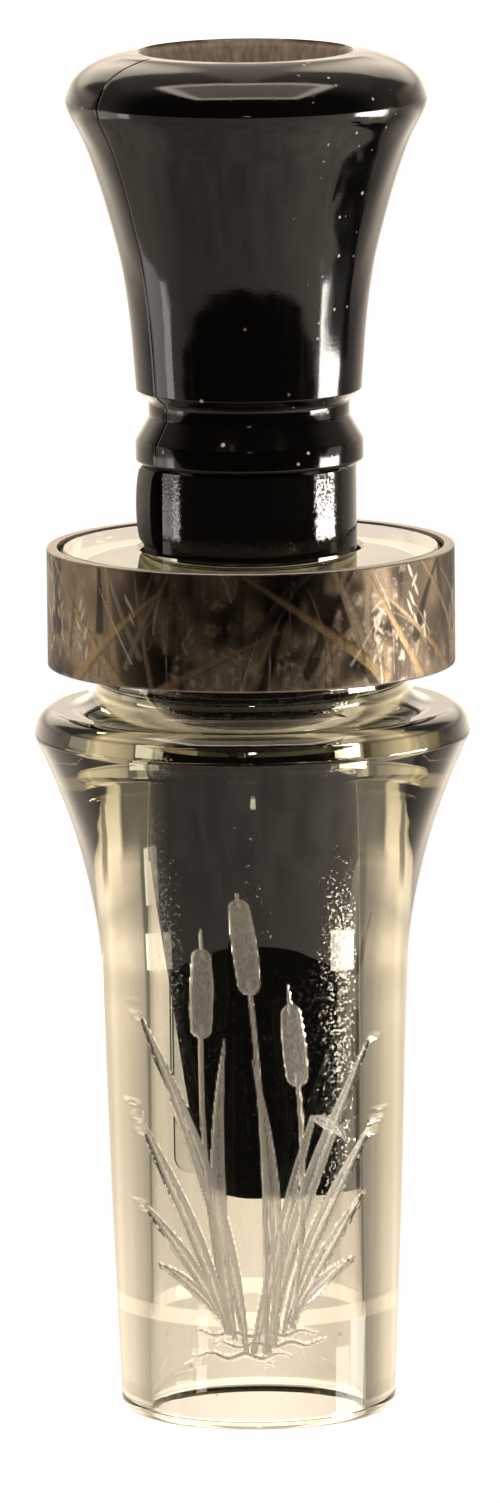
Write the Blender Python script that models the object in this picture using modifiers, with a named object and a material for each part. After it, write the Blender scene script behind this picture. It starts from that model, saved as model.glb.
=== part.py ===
"""A two-reed duck call: a clear flanged barrel with a printed metal band, and a pull-out insert.

The insert is an end bell on a half-round tone board. A rubber wedge clamps two thin plastic
reeds on the board's flat face. Metres, +Z up. The origin is the centre of the barrel's mouth
face, which the call stands on, and the board's face looks towards +Y.
"""

import math

import bmesh
import bpy

MM = 0.001
SEGMENTS = 48  # faces round every turned piece

# Barrel
MOUTH_RADIUS = 11 * MM
MOUTH_ROUND = 1.1 * MM
BARREL_STATIONS = (  # height and outer radius, from above the mouth's round edge to the flange
    (1.9 * MM, 11.00 * MM),
    (16.4 * MM, 11.6 * MM),
    (32.6 * MM, 12.14 * MM),
    (39.1 * MM, 12.52 * MM),
    (45.6 * MM, 13.88 * MM),
    (50.4 * MM, 15.50 * MM),
    (53.7 * MM, 16.88 * MM),
)
FLANGE_RADIUS = 17.36 * MM
FLANGE_Z = 54.6 * MM
FLANGE_TOP = 57 * MM
FLANGE_FLAT = 16.3 * MM
FLANGE_ROUND = 0.7 * MM
FLANGE_SHOULDER = 55  # degrees of that round, from level up to the flat
GROOVE_RADIUS = 12.36 * MM
GROOVE_FILLET = 0.8 * MM
DISH_FILLET = 2.4 * MM  # the wide hollow where the groove meets the flange
SEAT_RADIUS = 15.2 * MM
SEAT_BOTTOM = 60.5 * MM
BARREL_TOP = 69.8 * MM
BORE_RADIUS = 8.4 * MM
LEADE_RADIUS = 8.55 * MM  # the slightly wider bore near the mouth
LEADE_TOP = 8.3 * MM
SOCKET_RADIUS = 8.8 * MM  # the wider bore that holds the insert's shank
SOCKET_BOTTOM = 53.8 * MM
EDGE = 0.3 * MM

# Band
BAND_RADIUS = 16.26 * MM
BAND_BORE = 15.45 * MM
BAND_BOTTOM = 60.4 * MM
BAND_TOP = 69.9 * MM

# Insert
SHANK_RADIUS = 8.5 * MM
BOARD_RADIUS = 8.2 * MM
SHANK_BOTTOM = 54.9 * MM
BOARD_TIP = 18.7 * MM
SHOULDER = 76.4 * MM
TENON_RADIUS = 6.9 * MM
TENON_TOP = 87.4 * MM
FACE_STATIONS = (  # height and depth of the face, from where it leaves the flat reed bed
    (46.5 * MM, 0.0),
    (43.0 * MM, -0.45 * MM),
    (38.0 * MM, -1.15 * MM),
    (33.0 * MM, -1.90 * MM),
    (27.5 * MM, -2.70 * MM),
    (23.0 * MM, -3.42 * MM),
    (20.6 * MM, -3.92 * MM),
    (16.7 * MM, -4.85 * MM),
)
CHANNEL_WIDTH = 6 * MM
CHANNEL_FLOOR = -5.2 * MM
CHANNEL_TIP = 24 * MM
THROAT_RADIUS = 4.4 * MM
TIP_CORNER = 3.5 * MM
SPARE = 1 * MM  # how far a cutter or a blank reaches past what it cuts
TIP_SPARE = 0.2 * MM

# Reeds and wedge, as heights above the board's face
REED_GAP = 0.15 * MM
REED_THICKNESS = 0.25 * MM
REED_WIDTH = 14.3 * MM
REED_CORNER = 1.6 * MM
LOWER_REED_TIP = 19.9 * MM
UPPER_REED_TIP = 25.4 * MM
WEDGE_FLOOR = 3 * REED_GAP + 2 * REED_THICKNESS
WEDGE_NOSE = 46.5 * MM
WEDGE_NOSE_THICKNESS = 0.3 * MM
WEDGE_CURVE = 16 * MM
WEDGE_RADIUS = 8.5 * MM
WEDGE_BULGE = 9.15 * MM  # where the soft wedge stands proud of the exposed neck
WEDGE_SWELL = 0.6 * MM  # height over which it swells

# End bell
BELL_BOTTOM = 76.7 * MM
BELL_STATIONS = (  # height and outer radius, down the flare and into the groove over the bead
    (105.8 * MM, 14.44 * MM),
    (104.7 * MM, 14.12 * MM),
    (102.3 * MM, 12.92 * MM),
    (99.0 * MM, 11.72 * MM),
    (95.8 * MM, 10.76 * MM),
    (89.3 * MM, 9.52 * MM),
    (83.6 * MM, 9.04 * MM),
    (82.4 * MM, 8.90 * MM),
)
DOME_STATIONS = (  # over the bell's end, from its opening to its widest ring
    (109.5 * MM, 8.56 * MM),
    (109.3 * MM, 10.20 * MM),
    (108.5 * MM, 12.40 * MM),
    (107.3 * MM, 13.80 * MM),
    (105.8 * MM, 14.44 * MM),
)
BEAD_RADIUS = 9.07 * MM
BEAD_TOP = 79 * MM
BELL_GROOVE_RADIUS = 8 * MM
BELL_GROOVE_BOTTOM = 80.4 * MM
BELL_GROOVE_TOP = 81.2 * MM
BELL_SOCKET_RADIUS = 7.2 * MM
BELL_SOCKET_TOP = 87.7 * MM
FLARE_STATIONS = (  # the exhaust bore, from the tone board's tenon up to the opening
    (87.7 * MM, 4.60 * MM),
    (95.0 * MM, 5.30 * MM),
    (103.0 * MM, 6.75 * MM),
    (109.1 * MM, 8.25 * MM),
)


def clear_scene():
    for obj in list(bpy.data.objects):
        bpy.data.objects.remove(obj, do_unlink=True)


def new_collection(name, hidden=False):
    collection = bpy.data.collections.new(name)
    collection.hide_render = hidden
    bpy.context.scene.collection.children.link(collection)
    return collection


def plain_material(name, colour, roughness, metallic=0.0, alpha=1.0):
    material = bpy.data.materials.new(name)
    material.use_nodes = True
    shader = material.node_tree.nodes["Principled BSDF"]
    shader.inputs["Base Color"].default_value = (*colour, 1.0)
    shader.inputs["Roughness"].default_value = roughness
    shader.inputs["Metallic"].default_value = metallic
    shader.inputs["Alpha"].default_value = alpha
    return material


def smooth_run(stations, steps):
    """Points on a Catmull-Rom curve through the (height, radius or depth) stations, ends included."""
    run = []
    last = len(stations) - 1
    for i in range(last):
        before = stations[max(i - 1, 0)]
        start, end = stations[i], stations[i + 1]
        after = stations[min(i + 2, last)]
        for step in range(steps):
            t = step / steps
            point = []
            for a, b, c, d in zip(before, start, end, after):
                linear = (c - a) * t
                square = (2 * a - 5 * b + 4 * c - d) * t * t
                cube = (3 * b - a - 3 * c + d) * t**3
                point.append(b + 0.5 * (linear + square + cube))
            run.append(tuple(point))
    run.append(stations[last])
    return run


def arc(centre_z, centre_r, radius, start, end, steps):
    """(height, radius) points on a circle; 0 degrees points outwards and 90 degrees up."""
    points = []
    for step in range(steps + 1):
        angle = math.radians(start + (end - start) * step / steps)
        points.append((centre_z + radius * math.sin(angle), centre_r + radius * math.cos(angle)))
    return points


def turned(name, profile, collection, closed=True):
    """A solid turned about Z from (height, radius) points that run down its outer side."""
    shape = bmesh.new()
    corners = [shape.verts.new((radius, 0.0, height)) for height, radius in profile]
    for first, second in zip(corners, corners[1:]):
        shape.edges.new((first, second))
    if closed:
        shape.edges.new((corners[-1], corners[0]))
    mesh = bpy.data.meshes.new(name)
    shape.to_mesh(mesh)
    shape.free()
    obj = bpy.data.objects.new(name, mesh)
    collection.objects.link(obj)
    screw = obj.modifiers.new("Turn", "SCREW")
    screw.steps = SEGMENTS
    screw.render_steps = SEGMENTS
    screw.use_merge_vertices = True
    screw.merge_threshold = 0.00001
    screw.use_smooth_shade = True
    return obj


def plate(name, outline, thickness, rotation, location, collection):
    """A flat closed outline made a solid, thickness thick about its own plane."""
    curve = bpy.data.curves.new(name, "CURVE")
    curve.dimensions = "2D"
    curve.fill_mode = "BOTH"
    curve.extrude = thickness / 2
    spline = curve.splines.new("POLY")
    spline.points.add(len(outline) - 1)
    for point, (across, along) in zip(spline.points, outline):
        point.co = (across, along, 0.0, 1.0)
    spline.use_cyclic_u = True
    guide = bpy.data.objects.new(name + "_outline", curve)
    bpy.context.scene.collection.objects.link(guide)
    graph = bpy.context.evaluated_depsgraph_get()
    mesh = bpy.data.meshes.new_from_object(guide.evaluated_get(graph))
    bpy.data.objects.remove(guide, do_unlink=True)
    shape = bmesh.new()
    shape.from_mesh(mesh)
    bmesh.ops.remove_doubles(shape, verts=shape.verts, dist=0.000001)
    bmesh.ops.recalc_face_normals(shape, faces=shape.faces)
    shape.to_mesh(mesh)
    shape.free()
    mesh.name = name
    obj = bpy.data.objects.new(name, mesh)
    obj.rotation_euler = rotation
    obj.location = location
    collection.objects.link(obj)
    return obj


def combine(obj, cutter, operation):
    boolean = obj.modifiers.new(operation.title() + " " + cutter.name, "BOOLEAN")
    boolean.operation = operation
    boolean.solver = "EXACT"
    boolean.object = cutter
    cutter.display_type = "WIRE"
    cutter.hide_render = True


def side_view(outline):
    """Points given as (height, depth towards +Y), in the plate's own order."""
    return [(depth, height) for height, depth in outline]


ALONG_X = (math.pi / 2, 0.0, math.pi / 2)  # a plate standing in the YZ plane
ALONG_Y = (math.pi / 2, 0.0, 0.0)  # a plate standing in the XZ plane


def make_barrel(parts):
    outside = [
        (BARREL_TOP, SEAT_RADIUS - EDGE),
        (BARREL_TOP - EDGE, SEAT_RADIUS),
        (SEAT_BOTTOM, SEAT_RADIUS),
    ]
    outside += arc(SEAT_BOTTOM - GROOVE_FILLET, GROOVE_RADIUS + GROOVE_FILLET, GROOVE_FILLET, 90, 180, 3)
    outside += arc(FLANGE_TOP + DISH_FILLET, GROOVE_RADIUS + DISH_FILLET, DISH_FILLET, 180, 270, 5)
    outside += [(FLANGE_TOP, FLANGE_FLAT)]
    flange = (FLANGE_Z + FLANGE_ROUND, FLANGE_RADIUS - FLANGE_ROUND, FLANGE_ROUND)
    outside += arc(*flange, FLANGE_SHOULDER, 0, 3)
    outside += smooth_run(BARREL_STATIONS, 2)[::-1]
    outside += arc(MOUTH_ROUND, MOUTH_RADIUS - MOUTH_ROUND, MOUTH_ROUND, 0, -90, 4)
    inside = [
        (0.0, LEADE_RADIUS + EDGE),
        (EDGE, LEADE_RADIUS),
        (LEADE_TOP, LEADE_RADIUS),
        (LEADE_TOP + EDGE / 2, BORE_RADIUS),
        (SOCKET_BOTTOM, BORE_RADIUS),
        (SOCKET_BOTTOM + EDGE, SOCKET_RADIUS),
        (BARREL_TOP - EDGE, SOCKET_RADIUS),
        (BARREL_TOP, SOCKET_RADIUS + EDGE),
    ]
    barrel = turned("barrel", outside + inside, parts)
    barrel.data.materials.append(plain_material("smoke_clear", (0.62, 0.58, 0.52), 0.08, alpha=0.45))


def make_band(parts):
    profile = [
        (BAND_TOP, BAND_RADIUS - EDGE),
        (BAND_TOP - EDGE, BAND_RADIUS),
        (BAND_BOTTOM + EDGE, BAND_RADIUS),
        (BAND_BOTTOM, BAND_RADIUS - EDGE),
        (BAND_BOTTOM, BAND_BORE),
        (BAND_TOP, BAND_BORE),
    ]
    band = turned("band", profile, parts)
    band.data.materials.append(plain_material("printed_metal", (0.16, 0.13, 0.10), 0.35, metallic=0.8))


def make_end_bell(parts):
    outside = smooth_run(DOME_STATIONS, 2)
    outside += smooth_run(BELL_STATIONS, 2)[1:]
    outside += [
        (BELL_GROOVE_TOP, BELL_GROOVE_RADIUS),
        (BELL_GROOVE_BOTTOM, BELL_GROOVE_RADIUS),
        (BEAD_TOP, BEAD_RADIUS - EDGE),
        (BEAD_TOP - EDGE, BEAD_RADIUS),
        (BELL_BOTTOM + EDGE, BEAD_RADIUS),
        (BELL_BOTTOM, BEAD_RADIUS - EDGE),
    ]
    inside = [
        (BELL_BOTTOM, BELL_SOCKET_RADIUS),
        (BELL_SOCKET_TOP, BELL_SOCKET_RADIUS),
    ]
    inside += smooth_run(FLARE_STATIONS, 3)
    bell = turned("end_bell", outside + inside, parts)
    bell.data.materials.append(plain_material("polished_black", (0.02, 0.018, 0.016), 0.12))


def face_outline():
    """The space over the board's face, from the shoulder down to past the tip."""
    far = 2 * SHANK_RADIUS
    face = smooth_run(FACE_STATIONS, 2)
    return side_view([(SHOULDER, far), (SHOULDER, 0.0)] + face + [(face[-1][0], far)])


def channel_outline():
    """The sound channel seen from the reeds: straight sides and a round end near the tip."""
    half = CHANNEL_WIDTH / 2
    outline = [(half, SHOULDER + SPARE), (-half, SHOULDER + SPARE)]
    steps = 8
    for step in range(steps + 1):
        angle = math.pi + math.pi * step / steps
        outline.append((half * math.cos(angle), CHANNEL_TIP + half + half * math.sin(angle)))
    return outline


def tip_outline():
    """The board seen from the reeds, with its two round corners at the tip."""
    half = SHANK_RADIUS + SPARE
    tip_half = BOARD_RADIUS + TIP_SPARE
    shoulder = BOARD_TIP + 2 * TIP_CORNER
    outline = [(half, TENON_TOP + SPARE), (-half, TENON_TOP + SPARE), (-half, shoulder)]
    outline += [(-tip_half, BOARD_TIP + TIP_CORNER)]
    steps = 5
    for side in (-1, 1):
        corner = []
        for step in range(1, steps + 1):
            angle = math.pi / 2 * step / steps
            across = tip_half - TIP_CORNER * (1 - math.cos(angle))
            corner.append((side * across, BOARD_TIP + TIP_CORNER * (1 - math.sin(angle))))
        outline += corner if side < 0 else corner[::-1]
    return outline + [(tip_half, BOARD_TIP + TIP_CORNER), (half, shoulder)]


def make_tone_board(parts, cutters):
    profile = [
        (TENON_TOP, 0.0),
        (TENON_TOP, TENON_RADIUS - EDGE),
        (TENON_TOP - EDGE, TENON_RADIUS),
        (SHOULDER, TENON_RADIUS),
        (SHOULDER, SHANK_RADIUS),
        (SHANK_BOTTOM, SHANK_RADIUS),
        (SHANK_BOTTOM - EDGE, BOARD_RADIUS),
        (BOARD_TIP - SPARE, BOARD_RADIUS),
        (BOARD_TIP - SPARE, 0.0),
    ]
    board = turned("tone_board", profile, parts, closed=False)
    deep = 4 * SHANK_RADIUS
    combine(board, plate("tip_shape", tip_outline(), deep, ALONG_Y, (0, 0, 0), cutters), "INTERSECT")
    combine(board, plate("face_cut", face_outline(), deep, ALONG_X, (0, 0, 0), cutters), "DIFFERENCE")
    height = SPARE - CHANNEL_FLOOR
    middle = (0, CHANNEL_FLOOR + height / 2, 0)
    combine(board, plate("channel_cut", channel_outline(), height, ALONG_Y, middle, cutters), "DIFFERENCE")
    throat = [
        (TENON_TOP + SPARE, 0.0),
        (TENON_TOP + SPARE, THROAT_RADIUS),
        (SHOULDER - 2 * SPARE, THROAT_RADIUS),
        (SHOULDER - 2 * SPARE, 0.0),
    ]
    combine(board, turned("throat_cut", throat, cutters, closed=False), "DIFFERENCE")
    board.data.materials.append(plain_material("satin_black", (0.025, 0.023, 0.021), 0.4))


def reed_outline(tip):
    """A straight strip with small round corners at its free end."""
    half = REED_WIDTH / 2
    outline = [(half, SHOULDER), (-half, SHOULDER)]
    steps = 4
    for side in (-1, 1):
        bend = []
        for step in range(steps + 1):
            angle = math.pi / 2 * step / steps
            across = half - REED_CORNER + REED_CORNER * math.cos(angle)
            bend.append((side * across, tip + REED_CORNER * (1 - math.sin(angle))))
        outline += bend if side < 0 else bend[::-1]
    return outline


def make_reed(name, tip, floor, hinge_height, parts):
    """A reed whose origin lies on the line that its free end bends about."""
    outline = [(across, along - hinge_height) for across, along in reed_outline(tip)]
    middle = (0, floor + REED_THICKNESS / 2, hinge_height)
    reed = plate(name, outline, REED_THICKNESS, ALONG_Y, middle, parts)
    reed.data.materials.append(plain_material(name + "_film", (0.85, 0.87, 0.88), 0.15, alpha=0.4))


def wedge_outline():
    """The wedge seen from the side: flat underneath, with an arched nose."""
    far = 2 * SHANK_RADIUS
    outline = [(SHOULDER, far), (SHOULDER, WEDGE_FLOOR), (WEDGE_NOSE, WEDGE_FLOOR)]
    reach = math.sqrt(WEDGE_CURVE**2 - (WEDGE_CURVE - WEDGE_RADIUS) ** 2)
    steps = 9
    for step in range(steps + 1):
        run = reach * step / steps
        rise = WEDGE_CURVE - math.sqrt(WEDGE_CURVE**2 - run**2)
        outline.append((WEDGE_NOSE + run, WEDGE_FLOOR + WEDGE_NOSE_THICKNESS + rise))
    outline.append((WEDGE_NOSE + reach, far))
    return side_view(outline)


def make_wedge(parts, cutters):
    neck_bottom = BARREL_TOP + 0.5 * MM
    profile = [
        (SHOULDER, 0.0),
        (SHOULDER, WEDGE_RADIUS),
        (SHOULDER - WEDGE_SWELL, WEDGE_BULGE),
        (neck_bottom + WEDGE_SWELL, WEDGE_BULGE),
        (neck_bottom, WEDGE_RADIUS),
        (SHANK_BOTTOM, WEDGE_RADIUS),
        (SHANK_BOTTOM - EDGE, BOARD_RADIUS),
        (WEDGE_NOSE - SPARE, BOARD_RADIUS),
        (WEDGE_NOSE - SPARE, 0.0),
    ]
    wedge = turned("wedge", profile, parts, closed=False)
    deep = 4 * SHANK_RADIUS
    combine(wedge, plate("wedge_shape", wedge_outline(), deep, ALONG_X, (0, 0, 0), cutters), "INTERSECT")
    wedge.data.materials.append(plain_material("black_rubber", (0.03, 0.028, 0.026), 0.75))


def main():
    clear_scene()
    parts = new_collection("duck_call")
    cutters = new_collection("cutters", hidden=True)
    make_barrel(parts)
    make_band(parts)
    make_end_bell(parts)
    make_tone_board(parts, cutters)
    make_wedge(parts, cutters)
    make_reed("lower_reed", LOWER_REED_TIP, REED_GAP, WEDGE_NOSE, parts)
    make_reed("upper_reed", UPPER_REED_TIP, 2 * REED_GAP + REED_THICKNESS, WEDGE_NOSE, parts)


main()
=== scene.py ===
"""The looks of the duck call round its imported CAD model: smooth meshes, materials, studio, camera."""

import math

import bmesh
import bpy
import numpy as np
from mathutils import Matrix, Vector


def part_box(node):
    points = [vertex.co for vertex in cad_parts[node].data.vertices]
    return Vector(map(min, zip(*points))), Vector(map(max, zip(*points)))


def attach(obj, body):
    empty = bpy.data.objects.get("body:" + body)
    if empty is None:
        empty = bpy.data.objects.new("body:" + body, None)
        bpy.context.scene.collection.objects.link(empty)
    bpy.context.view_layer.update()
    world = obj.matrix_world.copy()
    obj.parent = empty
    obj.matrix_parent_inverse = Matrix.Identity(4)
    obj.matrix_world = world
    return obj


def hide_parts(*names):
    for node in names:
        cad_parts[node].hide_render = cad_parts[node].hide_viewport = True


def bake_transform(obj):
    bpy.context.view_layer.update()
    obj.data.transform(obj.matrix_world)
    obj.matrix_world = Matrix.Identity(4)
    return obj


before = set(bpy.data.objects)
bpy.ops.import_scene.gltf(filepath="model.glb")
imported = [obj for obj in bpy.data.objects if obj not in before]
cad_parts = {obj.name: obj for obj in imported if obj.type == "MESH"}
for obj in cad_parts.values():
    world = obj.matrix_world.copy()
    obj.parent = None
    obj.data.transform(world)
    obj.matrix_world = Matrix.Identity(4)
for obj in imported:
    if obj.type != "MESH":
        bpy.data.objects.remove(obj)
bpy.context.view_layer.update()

MM = 0.001


def from_mm(*pairs):
    """Pairs of a height and a radius or depth, given in millimetres, in metres."""
    return tuple((height * MM, reach * MM) for height, reach in pairs)


# Where the camera stands, in metres. Azimuth is turned from -Y towards +X.
VIEW_AZIMUTH = math.radians(-35)
FRONT = VIEW_AZIMUTH - math.pi / 2  # the camera's side, as an angle from +X round Z
CAMERA_DISTANCE = 1.225
CAMERA_HEIGHT = 0.247
CAMERA_LENS = 372
CAMERA_ROLL = math.radians(-0.567)
AIM_HEIGHT = 0.0532
AIM_ACROSS = -0.0002

# Heights and radii that the CAD model gives.
_, BARREL_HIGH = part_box("barrel")
BAND_LOW, BAND_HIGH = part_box("band")
BELL_LOW, BELL_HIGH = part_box("end_bell")
BOARD_LOW, BOARD_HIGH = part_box("tone_board")
WEDGE_LOW, WEDGE_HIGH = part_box("wedge")
LOWER_LOW, LOWER_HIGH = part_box("lower_reed")
UPPER_LOW, UPPER_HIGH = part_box("upper_reed")
BARREL_TOP = BARREL_HIGH.z
FLANGE_RADIUS = BARREL_HIGH.x
BAND_RADIUS = BAND_HIGH.x
SHOULDER = LOWER_HIGH.z

# The rest of the barrel's profile.
MOUTH_RADIUS = 11.0 * MM
MOUTH_ROUND = 1.1 * MM
BARREL_STATIONS = from_mm(  # height and outer radius, from above the mouth's round edge to the flange
    (1.9, 11.00), (16.4, 11.60), (32.6, 12.14), (39.1, 12.52), (45.6, 13.88), (50.4, 15.50),
    (53.7, 16.88),
)
FLANGE_Z = 54.6 * MM  # the flange's widest place
FLANGE_TOP = 57.0 * MM
FLANGE_FLAT = 15.75 * MM
FLANGE_ROUND = 1.5 * MM
FLANGE_LIP = 0.9 * MM
GROOVE_RADIUS = 12.36 * MM
GROOVE_FILLET = 0.8 * MM
DISH_FILLET = 2.4 * MM
SEAT_RADIUS = 15.2 * MM
SEAT_BOTTOM = 60.5 * MM
BORE_RADIUS = 8.4 * MM
LEADE_RADIUS = 8.55 * MM
LEADE_TOP = 8.3 * MM
SOCKET_RADIUS = 8.8 * MM
SOCKET_BOTTOM = 53.8 * MM
EDGE = 0.3 * MM
BAND_BORE = 15.45 * MM

# The rest of the insert. The board's face is given by height and depth.
SHANK_RADIUS = 8.5 * MM
BOARD_RADIUS = 8.3 * MM
SHANK_BOTTOM = 54.9 * MM
TENON_RADIUS = 6.9 * MM
FACE_STATIONS = from_mm(
    (46.5, 0.0), (43.0, -0.45), (38.0, -1.15), (33.0, -1.90), (27.5, -2.70), (23.0, -3.42),
    (20.6, -3.92), (16.7, -4.85),
)
CHANNEL_WIDTH = 6 * MM
CHANNEL_FLOOR = -5.2 * MM
CHANNEL_TIP = 24 * MM
THROAT_RADIUS = 4.4 * MM
TIP_CORNER = 3.5 * MM
WEDGE_NOSE_THICKNESS = 0.3 * MM
WEDGE_CURVE = 16 * MM
WEDGE_RADIUS = 8.5 * MM
REED_CORNER = 1.6 * MM
DIMPLE_UP = 5 * MM  # from the reed's tip
DIMPLE_SPREAD = 1.1 * MM
BELL_STATIONS = from_mm(
    (105.8, 14.44), (104.7, 14.12), (102.3, 12.92), (99.0, 11.76), (96.0, 10.90), (93.2, 10.20),
    (90.6, 9.74), (87.6, 9.38), (84.5, 9.13), (82.4, 8.98),
)
DOME_STATIONS = from_mm(
    (109.5, 8.56), (109.3, 10.20), (108.5, 12.40), (107.3, 13.80), (105.8, 14.44),
)
BELL_FOOT_ROUND = 0.2 * MM
BEAD_RADIUS = 9.07 * MM
BEAD_TOP = 79 * MM
BEAD_ROUND = 0.25 * MM
BEAD_UNDER_ROUND = 0.35 * MM
BELL_GROOVE_ROUND = 0.6 * MM
BELL_GROOVE_RADIUS = 8 * MM
BELL_GROOVE_BOTTOM = 80.4 * MM
BELL_GROOVE_TOP = 81.2 * MM
BELL_SOCKET_RADIUS = 7.2 * MM
BELL_SOCKET_TOP = 87.7 * MM
FLARE_STATIONS = from_mm(
    (87.7, 4.60), (95.0, 5.30), (103.0, 6.75), (109.1, 8.25),
)


# ---------------------------------------------------------------- profiles and turned meshes


def shares(steps):
    """Even steps from 0 to 1, both included."""
    return [step / steps for step in range(steps + 1)]


def smooth_run(stations, steps):
    """(height, radius) points on a Catmull-Rom curve through the stations, ends included."""
    run = []
    last = len(stations) - 1
    for i in range(last):
        before = stations[max(i - 1, 0)]
        start, end = stations[i], stations[i + 1]
        after = stations[min(i + 2, last)]
        for t in shares(steps)[:-1]:
            point = []
            for a, b, c, d in zip(before, start, end, after):
                linear = (c - a) * t
                square = (2 * a - 5 * b + 4 * c - d) * t * t
                cube = (3 * b - a - 3 * c + d) * t**3
                point.append(b + 0.5 * (linear + square + cube))
            run.append(tuple(point))
    run.append(stations[last])
    return run


def arc(centre_z, centre_r, radius, start, end, steps):
    """(height, radius) points on a circle; 0 degrees points outwards and 90 degrees up."""
    angles = [math.radians(start + (end - start) * t) for t in shares(steps)]
    return [(centre_z + radius * math.sin(a), centre_r + radius * math.cos(a)) for a in angles]


def filled(profile, spacing):
    """The same run of points with extra ones, so that no two are further apart than the spacing."""
    run = [profile[0]]
    for (z0, r0), (z1, r1) in zip(profile, profile[1:]):
        pieces = max(1, math.ceil(math.hypot(z1 - z0, r1 - r0) / spacing))
        for i in range(1, pieces + 1):
            t = i / pieces
            run.append((z0 + (z1 - z0) * t, r0 + (r1 - r0) * t))
    return run


def placed(name, data):
    """A new object in the scene."""
    obj = bpy.data.objects.new(name, data)
    bpy.context.scene.collection.objects.link(obj)
    return obj


def object_from(name, shape):
    """A new object from a bmesh, with its faces turned outwards."""
    bmesh.ops.recalc_face_normals(shape, faces=shape.faces)
    mesh = bpy.data.meshes.new(name)
    shape.to_mesh(mesh)
    shape.free()
    return placed(name, mesh)


def apply_modifiers(obj):
    graph = bpy.context.evaluated_depsgraph_get()
    obj.data = bpy.data.meshes.new_from_object(obj.evaluated_get(graph))
    obj.modifiers.clear()


def lathe_grid(profile, angles):
    """Heights, radii, outward normals and angles of a closed turned surface, as rows by columns."""
    z, r = np.array(profile).T
    along = np.roll(np.array(profile), -1, 0) - np.roll(np.array(profile), 1, 0)
    along /= np.linalg.norm(along, axis=1)[:, None]
    normal_z, normal_r = along[:, 1], -along[:, 0]
    columns = np.array(angles)
    rows = (z, r, normal_z, normal_r)
    return [np.repeat(a[:, None], len(columns), 1) for a in rows] + [np.tile(columns, (len(z), 1))]


def grid_object(name, z, r, angle):
    """A closed ring-shaped mesh from a grid that joins up both ways. Angle 0 is +X."""
    rows, columns = z.shape
    points = np.stack([r * np.cos(angle), r * np.sin(angle), z], -1).reshape(-1, 3)
    i, j = np.meshgrid(np.arange(rows), np.arange(columns), indexing="ij")
    down, on = (i + 1) % rows, (j + 1) % columns
    faces = np.stack([i * columns + j, down * columns + j, down * columns + on, i * columns + on], -1)
    mesh = bpy.data.meshes.new(name)
    mesh.from_pydata(points.tolist(), [], faces.reshape(-1, 4).tolist())
    mesh.update()
    mesh.shade_smooth()
    return placed(name, mesh)


def surfaced(obj, material, degrees=32):
    """Gives a mesh its one material and smooth shading, broken where it turns by more than the angle."""
    obj.data.shade_smooth()
    obj.data.set_sharp_from_angle(angle=math.radians(degrees))
    obj.data.materials.clear()
    obj.data.materials.append(material)


def point_values(obj, name, values):
    attribute = obj.data.attributes.new(name, "FLOAT", "POINT")
    attribute.data.foreach_set("value", values.astype(np.float32).reshape(-1))


def point_colours(obj, name, colours):
    attribute = obj.data.attributes.new(name, "FLOAT_COLOR", "POINT")
    flat = np.concatenate([colours.reshape(-1, 3), np.ones((colours.size // 3, 1))], 1)
    attribute.data.foreach_set("color", flat.astype(np.float32).reshape(-1))


def even_angles(count, start=0.0):
    return [start + 2 * math.pi * i / count for i in range(count)]


# ---------------------------------------------------------------- drawing on a surface


def smoothstep(low, high, x):
    t = np.clip((x - low) / (high - low), 0, 1)
    return t * t * (3 - 2 * t)


def mottle(u, v, size, seed, round_u=None):
    """Soft value noise from 0 to 1. With round_u it repeats after that distance along u."""
    lattice = np.random.RandomState(seed).rand(64, 64)
    x, y = u / size, v / size
    period = 64 if round_u is None else max(1, round(round_u / size))
    if round_u is not None:
        x = u * period / round_u
    x0, y0 = np.floor(x).astype(int), np.floor(y).astype(int)
    fx, fy = x - x0, y - y0
    fx, fy = fx * fx * (3 - 2 * fx), fy * fy * (3 - 2 * fy)
    column = [(x0 + k) % period % 64 for k in (0, 1)]
    row = [(y0 + k) % 64 for k in (0, 1)]
    low = lattice[column[0], row[0]] * (1 - fx) + lattice[column[1], row[0]] * fx
    high = lattice[column[0], row[1]] * (1 - fx) + lattice[column[1], row[1]] * fx
    return low * (1 - fy) + high * fy


def bent_line(start, heading, length, bend, pieces=14):
    """Points along a line that leaves start at a heading in degrees and bends evenly."""
    points = [start]
    for i in range(pieces):
        angle = math.radians(heading + bend * (i + 0.5) / pieces)
        step = length / pieces
        points.append((points[-1][0] + step * math.cos(angle), points[-1][1] + step * math.sin(angle)))
    return points


def stroke(u, v, points, width_start, width_end, belly=0.0):
    """How deep each place lies inside a stroke (in metres, over 0 inside), and how far to its side."""
    best = np.full(u.shape, -1.0)
    side = np.zeros(u.shape)
    spans = len(points) - 1
    for i, ((u0, v0), (u1, v1)) in enumerate(zip(points, points[1:])):
        du, dv = u1 - u0, v1 - v0
        length = math.hypot(du, dv)
        t = np.clip(((u - u0) * du + (v - v0) * dv) / length**2, 0, 1)
        away = np.hypot(u - u0 - t * du, v - v0 - t * dv)
        share = (i + t) / spans
        width = width_start + (width_end - width_start) * share + belly * np.sin(np.pi * share)
        inside = width / 2 - away
        nearer = inside > best
        best = np.where(nearer, inside, best)
        across = ((u - u0) * dv - (v - v0) * du) / length / np.maximum(width, 1e-6)
        side = np.where(nearer, across, side)
    return best, side


# ---------------------------------------------------------------- shader helpers


def new_material(name):
    """A material, its shader and the place on the object."""
    material = bpy.data.materials.new(name)
    material.use_nodes = True
    tree = material.node_tree
    return material, tree.nodes["Principled BSDF"], add("TexCoord", tree=tree).outputs["Object"]


def linked(value):
    return isinstance(value, bpy.types.NodeSocket)


def put(socket, value):
    """Gives an input a constant, or links it to another node's output."""
    if linked(value):
        socket.id_data.links.new(value, socket)
    else:
        socket.default_value = value


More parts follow.
